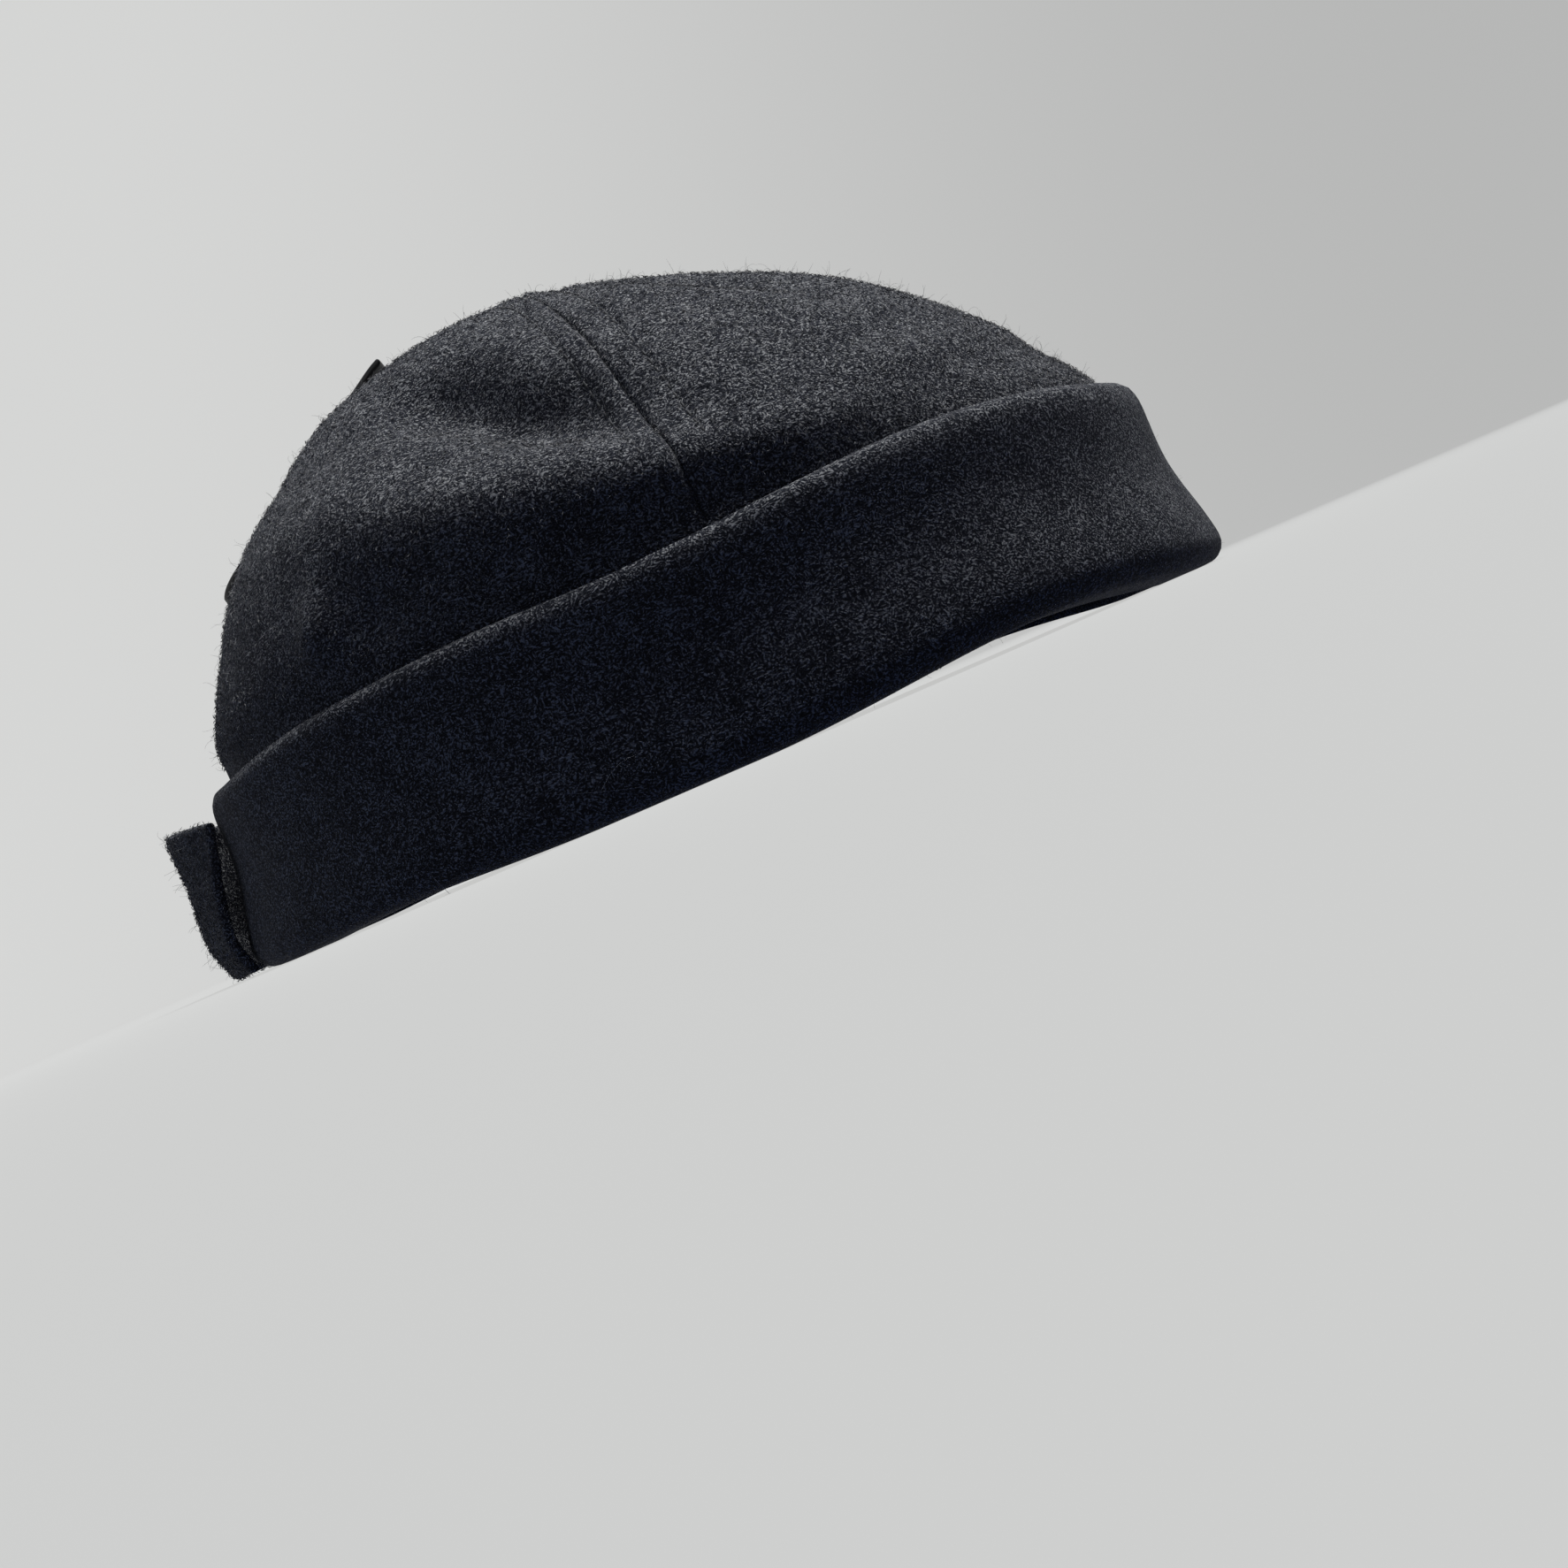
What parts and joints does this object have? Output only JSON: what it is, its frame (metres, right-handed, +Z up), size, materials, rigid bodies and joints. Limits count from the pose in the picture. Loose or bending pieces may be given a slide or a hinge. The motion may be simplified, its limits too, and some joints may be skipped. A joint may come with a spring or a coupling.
{
  "type": "docker hat",
  "caption": "Brimless wool docker hat with a domed sewn crown, a rolled doubled cuff, a back strap and a bare leather patch.",
  "frame": {"origin": "centre of the hat's length and width, on the plane that its cuff rests on", "axes": "+X to the wearer's front, +Y to the wearer's left, +Z up"},
  "size_m": [0.231, 0.1932, 0.1109],
  "materials": {
    "wool": "dark charcoal milled wool cloth with fine pale flecks and a short nap",
    "leather": "smooth black leather with a soft gloss"
  },
  "bodies": {
    "root": {"crown_front_right": "wool", "crown_front_left": "wool", "crown_back_left": "wool", "crown_back_right": "wool", "cuff": "wool", "back_strap": "wool", "leather_patch": "leather"}
  },
  "joints": []
}
